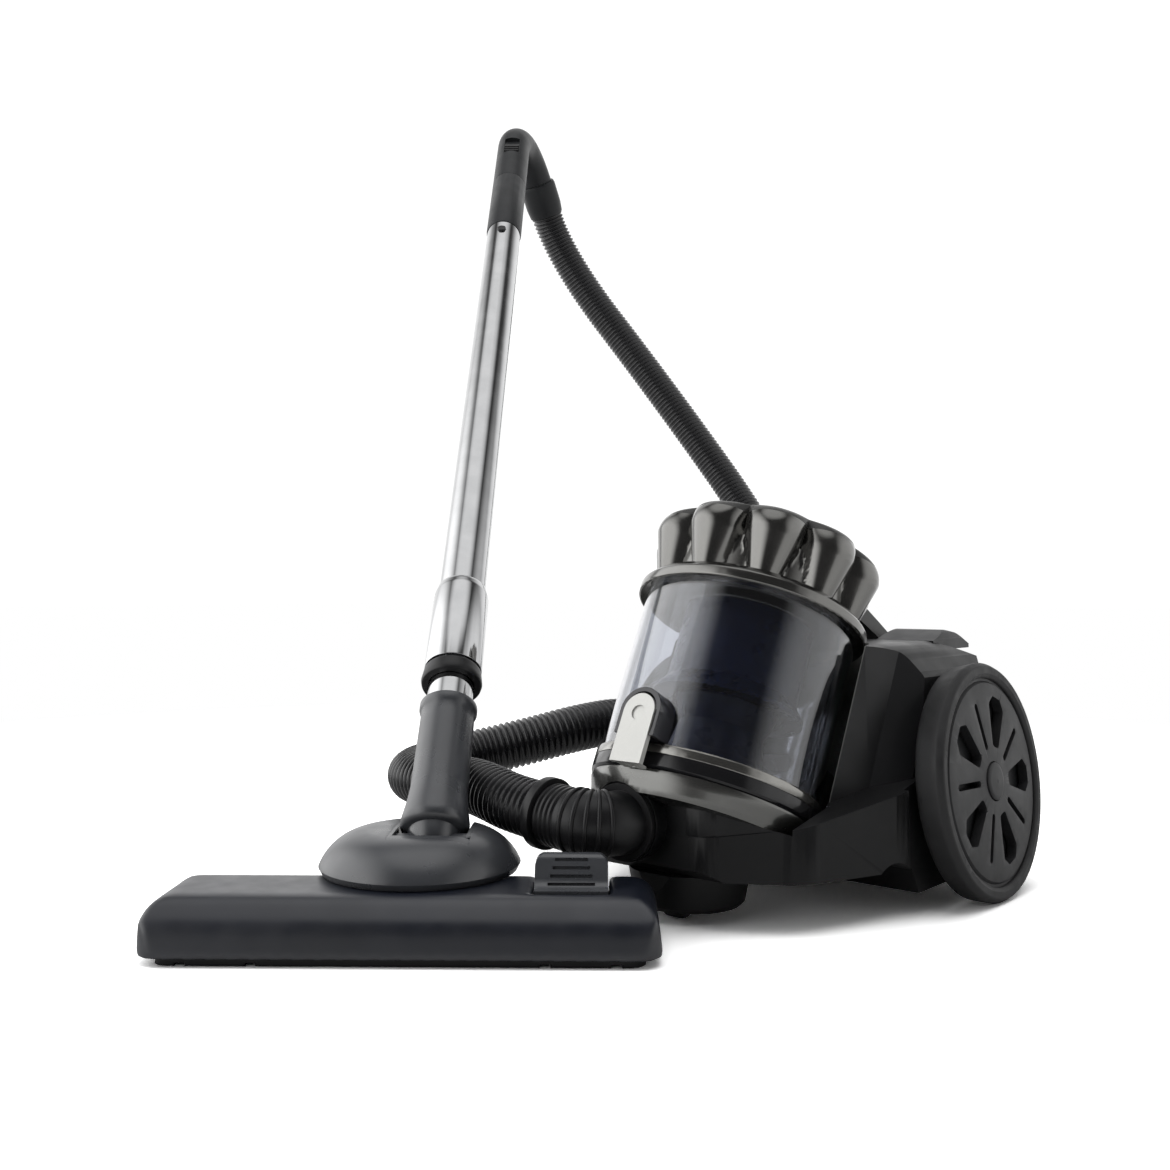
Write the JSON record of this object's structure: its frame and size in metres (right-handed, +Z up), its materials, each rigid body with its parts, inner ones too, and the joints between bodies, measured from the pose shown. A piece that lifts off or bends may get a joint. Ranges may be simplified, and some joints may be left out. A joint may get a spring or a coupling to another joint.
{
  "type": "canister vacuum cleaner",
  "caption": "Bagless canister vacuum cleaner with a clear tilted dust bin under a fluted cyclone lid, ribbed hose, chrome telescopic wand and wide floor head on large spoked wheels.",
  "frame": {"origin": "floor point under the centre of the box round everything but the hose", "axes": "+Z up, -Y the way the canister points, +X the canister's left side"},
  "size_m": [0.7487, 0.9343, 0.7688],
  "materials": {
    "body_black": "satin",
    "skirt_grey": "satin",
    "seat_grey": "satin",
    "pedal_grey": "satin",
    "wheel_grey": "satin",
    "tyre_black": "matte",
    "steel": "brushed",
    "motor_steel": "brushed",
    "inner_plastic": "matte",
    "filter_foam": "matte",
    "cup_clear": "clear",
    "rim_champagne": "metallic",
    "seal_rubber": "matte",
    "door_black": "gloss",
    "shroud_navy": "satin",
    "lid_gunmetal": "metallic",
    "latch_silver": "metallic",
    "bracket_smoke": "gloss",
    "hose_black": "satin",
    "handle_grey": "satin",
    "wand_chrome": "polished",
    "collar_black": "satin",
    "dome_grey": "satin",
    "head_navy": "satin",
    "bristle_black": "matte"
  },
  "bodies": {
    "canister": {"base_pan": "skirt_grey", "caster_pod": "skirt_grey", "front_cowl": "body_black", "bin_seat": "seat_grey", "rear_housing": "body_black", "motor_case": "inner_plastic", "motor_stator": "motor_steel", "power_switch": "inner_plastic", "reel_bracket": "inner_plastic", "exhaust_filter": "filter_foam", "exhaust_grille": "body_black", "cord_outlet": "seal_rubber", "wheel_axles": "steel", "hose_connector": "collar_black", "hose": "hose_black", "swivel_cuff": "handle_grey", "handle_grip": "handle_grey", "handle_connector": "handle_grey", "outer_tube": "wand_chrome", "tube_collar": "collar_black"},
    "left_wheel": {"left_tyre": "tyre_black", "left_wheel_disc": "wheel_grey", "left_hub_cap": "wheel_grey"},
    "right_wheel": {"right_tyre": "tyre_black", "right_wheel_disc": "wheel_grey", "right_hub_cap": "wheel_grey"},
    "caster": {"caster_fork": "body_black"},
    "caster_roller": {"caster_wheel": "tyre_black"},
    "motor": {"motor_rotor": "motor_steel", "fan_wheel": "inner_plastic"},
    "reel": {"cord_reel": "inner_plastic"},
    "power_button": {"power_pedal": "pedal_grey"},
    "rewind_button": {"rewind_pedal": "pedal_grey"},
    "bin": {"bin_cup": "cup_clear", "bin_rim": "rim_champagne", "door_seal": "seal_rubber", "bin_door": "door_black", "cyclone_shroud": "shroud_navy", "fines_cup": "shroud_navy", "lid_ring": "lid_gunmetal", "cyclone_lid": "lid_gunmetal", "exhaust_foam": "filter_foam", "lid_cap": "lid_gunmetal", "carry_handle": "lid_gunmetal", "latch_bracket": "bracket_smoke"},
    "latch": {"latch_lever": "latch_silver"},
    "bin_button": {"release_button": "latch_silver"},
    "slider": {"air_slider": "collar_black"},
    "snap": {"snap_button": "collar_black"},
    "sleeve": {"lock_sleeve": "wand_chrome"},
    "lower_wand": {"inner_tube": "wand_chrome", "neck": "dome_grey"},
    "turret": {"turret_dome": "dome_grey", "tilt_pin": "steel"},
    "head": {"head_cover": "head_navy", "head_sole": "body_black", "head_pins": "steel"},
    "head_rocker": {"head_pedal": "dome_grey"},
    "brushes": {"brush_bar": "bristle_black"},
    "rollers": {"head_rollers": "tyre_black"}
  },
  "joints": [
    {"name": "left_wheel_spin", "type": "hinge", "parent": "canister", "child": "left_wheel", "pos_m": [0.3651, 0.0659, 0.083], "axis": [0.9925, 0, 0.1219], "continuous": true},
    {"name": "right_wheel_spin", "type": "hinge", "parent": "canister", "child": "right_wheel", "pos_m": [0.0811, 0.0659, 0.083], "axis": [-0.9925, 0, 0.1219], "continuous": true},
    {"name": "caster_swivel", "type": "hinge", "parent": "canister", "child": "caster", "pos_m": [0.2231, -0.1001, 0.034], "axis": [0, 0, 1], "continuous": true},
    {"name": "caster_spin", "type": "hinge", "parent": "caster", "child": "caster_roller", "pos_m": [0.2231, -0.1121, 0.0147], "axis": [1, 0, 0], "continuous": true},
    {"name": "motor_spin", "type": "hinge", "parent": "canister", "child": "motor", "pos_m": [0.1891, 0.0659, 0.074], "axis": [0, 1, 0], "continuous": true},
    {"name": "reel_spin", "type": "hinge", "parent": "canister", "child": "reel", "pos_m": [0.2231, 0.1019, 0.08], "axis": [1, 0, 0], "continuous": true},
    {"name": "power_press", "type": "slide", "parent": "canister", "child": "power_button", "axis": [0, 0, -1], "range_m": [0, 0.0047], "stiffness_N_per_m": 900},
    {"name": "rewind_press", "type": "slide", "parent": "canister", "child": "rewind_button", "axis": [0, 0, -1], "range_m": [0, 0.0047], "stiffness_N_per_m": 900},
    {"name": "bin_lift", "type": "slide", "parent": "canister", "child": "bin", "axis": [0, 0.4352, 0.9003], "range_m": [0, 0.2]},
    {"name": "latch_swing", "type": "hinge", "parent": "bin", "child": "latch", "pos_m": [0.2231, -0.15193, 0.12908], "axis": [-1, 0, 0], "range_deg": [0, 12], "stiffness_Nm_per_rad": 0.3},
    {"name": "bin_release", "type": "slide", "parent": "bin", "child": "bin_button", "axis": [0, -0.4352, -0.9003], "range_m": [0, 0.0025], "stiffness_N_per_m": 600},
    {"name": "air_slide", "type": "slide", "parent": "canister", "child": "slider", "axis": [-0.4526, 0.5433, 0.7071], "range_m": [0, 0.012]},
    {"name": "snap_press", "type": "slide", "parent": "canister", "child": "snap", "axis": [-0.4526, 0.5433, -0.7071], "range_m": [0, 0.0022], "stiffness_N_per_m": 800},
    {"name": "sleeve_slide", "type": "slide", "parent": "canister", "child": "sleeve", "axis": [-0.4526, 0.5433, 0.7071], "range_m": [0, 0.008], "stiffness_N_per_m": 600},
    {"name": "tube_extend", "type": "slide", "parent": "canister", "child": "lower_wand", "axis": [0.4526, -0.5433, -0.7071], "range_m": [0, 0.38]},
    {"name": "head_tilt", "type": "hinge", "parent": "lower_wand", "child": "turret", "pos_m": [0.1273, -0.24382, 0.052], "axis": [-0.7683, -0.6401, 0], "range_deg": [-3, 35]},
    {"name": "head_swivel", "type": "hinge", "parent": "turret", "child": "head", "pos_m": [0.11398, -0.2419, 0.038], "axis": [0, 0, 1], "range_deg": [-75, 0]},
    {"name": "pedal_rock", "type": "hinge", "parent": "head", "child": "head_rocker", "pos_m": [0.14266, -0.26226, 0.032], "axis": [-0.7683, -0.6401, 0], "range_deg": [0, 10]},
    {"name": "brush_drop", "type": "slide", "parent": "head", "child": "brushes", "axis": [0, 0, -1], "range_m": [0, 0.0055]},
    {"name": "roller_spin", "type": "hinge", "parent": "head", "child": "rollers", "pos_m": [0.10746, -0.22, 0.0092], "axis": [0.7683, 0.6401, 0], "continuous": true}
  ],
  "couplings": [
    {"joint": "brush_drop", "follows": "pedal_rock", "m_per_rad": 0.0286}
  ]
}
